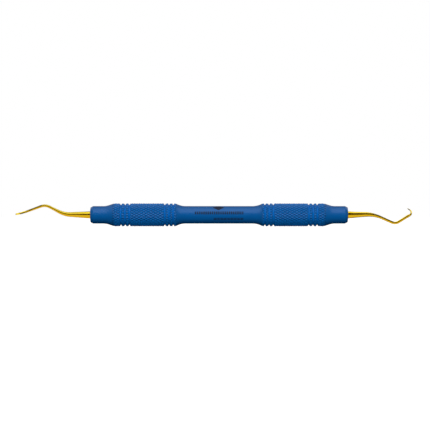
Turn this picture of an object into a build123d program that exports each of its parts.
"""Double-ended dental hand scaler: a resin handle on a steel core, with a gold-coated
working end bonded into each end. Millimetres, +X along the handle, +Z up.

The origin is the middle of the handle, on its axis. The working end at -X has a
rounded blade that turns towards -Y; the one at +X has a pointed hook in the XZ plane.
"""
from build123d import *
from math import acos, cos, degrees, radians, sin, sqrt, tan
import os

# ---- Driving dimensions ------------------------------------------------------------
handle_length = 112.2
grip_diameter = 10.0
waist_diameter = 7.6            # the slim middle, and the two necks

# Handle outline, as distances from the middle of the handle
inner_taper_start = 14.5        # where the waist begins to swell into the grip
inner_taper_radius = 8.8
outer_flare_start = 44.5        # where the grip begins to fall to the neck
outer_flare_radius = 6.4
outer_flare_angle = 18.0
end_chamfer_length = 1.15
end_chamfer_depth = 0.6
end_dome_height = 0.2           # how far the end face stands out around the shank
end_corner_radius = 0.4

# Ring grooves turned into the grips, three in each set
groove_pitch = 1.83
groove_width = 1.05
groove_depth = 0.68
groove_floor = 0.15
groove_set_centres = (21.75, 40.8)
grooves_in_set = 3

# Steel core inside the resin
tube_diameter = 5.0
tube_wall = 0.5
key_groove_width = 2.0          # rings rolled into the tube, which the resin grips
key_groove_depth = 0.15
key_groove_positions = (-33.0, -7.0, 7.0, 33.0)

# Sockets in the tube's ends, and the joints with the working ends
mouth_depth = 4.0               # from the handle's end face to the socket's flange
mouth_clearance = 0.05
socket_flange_thickness = 1.2
socket_length = 14.4
socket_bore_depth = 11.5
root_diameter = 3.0             # the shank where it leaves the handle
tang_diameter = 2.4
tang_length = 11.0
bond_gap = 0.12
tang_key_depth = 0.12           # ring grooves on the tang that key it into the epoxy
tang_key_width = 0.8
tang_key_pitch = 2.4
seal_groove_depth = 0.4
seal_groove_width = 0.8
seal_inset = 1.4                # from the handle's end face to the middle of the seal
seal_width = 0.7

# Working ends. Corners of the shank's line are (outwards, sideways, up) from the middle
# of the handle's end face, with the bend's radius at each corner. A taper is
# (distance along the shank, diameter).
rounded_end_corners = (
    (2.0, 0.0, 0.0),
    (11.2, 0.0, 0.2),
    (19.5, 0.0, 4.4),
    (27.6, 0.0, 1.42),
    (30.6, 1.25, 0.5),
)
rounded_end_radii = (30.0, 11.4, 4.65, 4.5, 3.0)
rounded_end_toe = (32.1, 2.75, 0.25)
rounded_end_taper = (
    (0.0, 3.0), (0.8, 2.98), (4.3, 2.55), (8.6, 2.06), (12.2, 1.6), (16.2, 1.22), (22.0, 1.1), (29.0, 0.94),
)
rounded_end_edges = (0.0, 0.36, -1.0)   # which way the blade's edges lie: its face looks slightly up
rounded_end_blade = 5.4         # length of the blade, measured along it
rounded_end_toe_scale = 0.78    # the blade's width at the toe, before its rounding

hook_end_corners = (
    (2.0, 0.0, 0.0),
    (11.0, 0.0, 0.3),
    (20.6, 0.0, -3.93),
    (27.3, 0.0, 0.24),
    (27.3, 0.0, 1.6),
)
hook_end_radii = (30.0, 16.0, 3.2, 1.3, 1.15)
hook_end_toe = (25.75, 0.0, 2.76)
hook_end_taper = (
    (0.0, 3.0), (0.8, 2.96), (3.5, 2.48), (8.6, 1.95), (12.4, 1.34), (16.0, 1.16), (30.5, 1.14),
)
hook_end_edges = (0.0, 1.0, 0.0)
hook_end_blade = 4.4
hook_end_toe_scale = 0.3

shank_section_pitch = 1.1       # spacing of the sections that the shank is lofted through
blade_sections = 8
blade_blend = 0.4               # share of the blade over which round turns to flat-faced
toe_length = 0.35               # the last bit of the blade, where its end is rounded
toe_tip_scale = 0.35

# ---- Derived sizes -----------------------------------------------------------------
handle_end = handle_length / 2
grip_radius = grip_diameter / 2
waist_radius = waist_diameter / 2
tube_radius = tube_diameter / 2
tube_bore_radius = tube_radius - tube_wall
root_radius = root_diameter / 2
mouth_radius = root_radius + mouth_clearance
tang_radius = tang_diameter / 2
socket_bore_radius = tang_radius + bond_gap
flange_face = handle_end - mouth_depth
tube_end = flange_face - socket_flange_thickness


# ---- Helpers -----------------------------------------------------------------------
def rod(radius, start, end):
    """Cylinder on the X axis between two places."""
    middle = Pos((start + end) / 2, 0, 0)
    return middle * Rot(0, 90, 0) * Cylinder(radius, abs(end - start))


def ring(outer_radius, inner_radius, centre, width):
    """Square-edged ring on the X axis."""
    start = centre - width / 2
    end = centre + width / 2
    return rod(outer_radius, start, end) - rod(inner_radius, start, end)


def both_ends(make):
    """The same piece at +X and, turned about Z, at -X."""
    right = make()
    return Rot(0, 0, 180) * right, right


# ---- Handle ------------------------------------------------------------------------
def handle_half():
    """Half of the handle's outer form, from its middle to the end face at +X."""
    rise = grip_radius - waist_radius
    taper_angle = degrees(acos(1 - rise / inner_taper_radius))
    arc_drop = outer_flare_radius * (1 - cos(radians(outer_flare_angle)))
    slope_length = (rise - 2 * arc_drop) / tan(radians(outer_flare_angle))
    slope = Vector(slope_length, 2 * arc_drop - rise)
    chamfer_start = (handle_end - end_dome_height - end_chamfer_length, waist_radius)
    chamfer_end = (handle_end - end_dome_height, waist_radius - end_chamfer_depth)

    waist = Line((0, waist_radius), (inner_taper_start, waist_radius))
    taper = JernArc(waist @ 1, (1, 0), inner_taper_radius, taper_angle)
    grip = Line(taper @ 1, (outer_flare_start, grip_radius))
    shoulder = JernArc(grip @ 1, (1, 0), outer_flare_radius, -outer_flare_angle)
    flare = Line(shoulder @ 1, shoulder @ 1 + slope)
    fall = JernArc(flare @ 1, shoulder % 1, outer_flare_radius, outer_flare_angle)
    neck = Line(fall @ 1, chamfer_start)
    mouth = (handle_end, mouth_radius)
    end_face = FilletPolyline(chamfer_start, chamfer_end, mouth, radius=end_corner_radius)
    back = Polyline(end_face @ 1, (handle_end, 0), (0, 0), (0, waist_radius))
    outline = Curve() + [waist, taper, grip, shoulder, flare, fall, neck, end_face, back]
    return revolve(make_face(outline), Axis.X)


def ring_groove(centre):
    """Cutter for one V-shaped ring groove."""
    cut_radius = grip_radius + 0.5
    slope = (groove_width - groove_floor) / 2 / groove_depth
    half_top = groove_width / 2 + slope * (cut_radius - grip_radius)
    floor_radius = grip_radius - groove_depth
    profile = Polyline(
        (centre - half_top, cut_radius),
        (centre - groove_floor / 2, floor_radius),
        (centre + groove_floor / 2, floor_radius),
        (centre + half_top, cut_radius),
        close=True,
    )
    return revolve(make_face(profile), Axis.X)


def handle():
    """Resin moulding: slim waist, two grips with ring grooves, moulded over the steel core,
    that is, over the tube and the sockets' flanges."""
    half = handle_half()
    body = half + mirror(half, Plane.YZ)
    for set_centre in groove_set_centres:
        for index in range(grooves_in_set):
            centre = set_centre + (index - (grooves_in_set - 1) / 2) * groove_pitch
            body -= ring_groove(centre) + ring_groove(-centre)
    body -= rod(mouth_radius, -handle_end, handle_end)
    return body - keyed_rod(flange_face)


# ---- Steel core --------------------------------------------------------------------
def keyed_rod(half_length):
    """Solid rod of the tube's diameter, with the keying rings rolled into it."""
    body = rod(tube_radius, -half_length, half_length)
    for position in key_groove_positions:
        body -= ring(tube_radius + 0.5, tube_radius - key_groove_depth, position, key_groove_width)
    return body


def core_tube():
    """Stainless tube that runs through the handle."""
    return keyed_rod(tube_end) - rod(tube_bore_radius, -tube_end, tube_end)


def socket():
    """Blind turned socket, pressed into the tube until its flange stops it."""
    flange = rod(tube_radius, tube_end, flange_face)
    plug = rod(tube_bore_radius, flange_face - socket_length, tube_end)
    bore = rod(socket_bore_radius, flange_face - socket_bore_depth, flange_face)
    return flange + plug - bore


# ---- Working ends ------------------------------------------------------------------
def tang():
    """The root inside the handle's mouth, its seal groove, and the keyed tang."""
    root = rod(root_radius, flange_face, handle_end)
    root -= ring(
        root_radius + 0.5, root_radius - seal_groove_depth, handle_end - seal_inset, seal_groove_width
    )
    tail = rod(tang_radius, flange_face - tang_length, flange_face)
    tail = chamfer(tail.edges().sort_by(Axis.X)[0], 0.3)
    for index in range(3):
        centre = flange_face - tang_length / 2 + (index - 1) * tang_key_pitch
        tail -= ring(tang_radius + 0.5, tang_radius - tang_key_depth, centre, tang_key_width)
    return root + tail


def diameter_at(taper, distance):
    """Shank diameter at a distance along it, in proportion between the taper's places."""
    for (start, first), (end, last) in zip(taper, taper[1:]):
        if distance <= end:
            return first + (last - first) * (distance - start) / (end - start)
    return taper[-1][1]


def cross_section(plane, size, flatness):
    """A circle at flatness 0. At 1, a blade: a flat face, two edges and a blunt back."""
    half = size / 2
    circle_points = [Vector(half, 0).rotate(Axis.Z, angle) for angle in range(30, 360, 60)]
    blade_points = [
        Vector(0.98 * half, 0.3 * half),        # edge
        Vector(0, 0.34 * half),                 # middle of the face
        Vector(-0.98 * half, 0.3 * half),       # edge
        Vector(-0.66 * half, -0.52 * half),     # side
        Vector(0, -1.02 * half),                # back
        Vector(0.66 * half, -0.52 * half),      # side
    ]
    points = [c + (b - c) * flatness for c, b in zip(circle_points, blade_points)]
    face = ThreePointArc(points[0], points[1], points[2])
    far_side = ThreePointArc(points[2], points[3], points[4])
    near_side = ThreePointArc(points[4], points[5], points[0])
    return plane * make_face([face, far_side, near_side])


def blade_size(along, toe_scale, blade_length):
    """Width of the blade, as a share of the shank's, from its heel (0) to its toe (1)."""
    toe_start = 1 - toe_length / blade_length
    width = 1 + (toe_scale - 1) * along ** 1.6
    if along > toe_start:
        past = min(1.0, (along - toe_start) / (1 - toe_start))
        width *= toe_tip_scale + (1 - toe_tip_scale) * sqrt(1 - past ** 2)
    return width


def working_end(corners, radii, toe, taper, blade_length, toe_scale, edge_direction):
    """Tang, tapered and bent shank, and blade, in one piece, for the end at +X. The blade's
    edges lie along edge_direction, as far as the shank's own direction allows."""
    points = [Vector(handle_end, 0, 0)]
    points += [Vector(handle_end + outwards, sideways, up) for outwards, sideways, up in (*corners, toe)]
    line = FilletPolyline(*points, radius=list(radii)).wire()
    heel = line.length - blade_length
    toe_start = line.length - toe_length

    shank_sections = round(heel / shank_section_pitch)
    places = [heel * i / shank_sections for i in range(shank_sections)]
    places += [heel + (toe_start - heel) * i / blade_sections for i in range(blade_sections + 1)]
    places += [toe_start + toe_length * share for share in (0.5, 0.85, 1.0)]

    sections = []
    for place in places:
        along = max(0.0, (place - heel) / blade_length)
        centre = line @ (place / line.length)
        direction = line % (place / line.length)
        across = edge_direction - direction * edge_direction.dot(direction)
        plane = Plane(origin=centre, x_dir=across, z_dir=direction)
        size = diameter_at(taper, place) * blade_size(along, toe_scale, blade_length)
        sections.append(cross_section(plane, size, min(1.0, along / blade_blend)))
    return tang() + loft(sections)


def rounded_working_end():
    """End at -X: the blade turns towards -Y and has a rounded toe."""
    end = working_end(
        rounded_end_corners, rounded_end_radii, rounded_end_toe, rounded_end_taper,
        rounded_end_blade, rounded_end_toe_scale, Vector(rounded_end_edges),
    )
    return Rot(0, 0, 180) * end


def hook_working_end():
    """End at +X: the blade is a pointed hook whose face is on its inner side."""
    return working_end(
        hook_end_corners, hook_end_radii, hook_end_toe, hook_end_taper,
        hook_end_blade, hook_end_toe_scale, Vector(hook_end_edges),
    )


# ---- Joints between the working ends and the handle --------------------------------
def tang_bond():
    """Epoxy that fills the socket around the tang."""
    return rod(socket_bore_radius, flange_face - socket_bore_depth, flange_face) - tang()


def seal_ring():
    """Silicone ring in the root's groove, squeezed against the handle's mouth."""
    profile = Pos(handle_end - seal_inset, (mouth_radius + root_radius - seal_groove_depth) / 2)
    section = profile * RectangleRounded(seal_width, mouth_radius - root_radius + seal_groove_depth, 0.18)
    return revolve(section, Axis.X)


# ---- Output ------------------------------------------------------------------------
def main():
    left_socket, right_socket = both_ends(socket)
    left_bond, right_bond = both_ends(tang_bond)
    left_seal, right_seal = both_ends(seal_ring)
    parts = {
        "handle": handle(),
        "core_tube": core_tube(),
        "left_socket": left_socket,
        "right_socket": right_socket,
        "left_working_end": rounded_working_end(),
        "right_working_end": hook_working_end(),
        "left_tang_bond": left_bond,
        "right_tang_bond": right_bond,
        "left_seal_ring": left_seal,
        "right_seal_ring": right_seal,
    }
    os.makedirs("parts", exist_ok=True)
    for name, part in parts.items():
        part.label = name
        export_step(part, f"parts/{name}.step")
        print(name, round(part.volume, 2))


main()
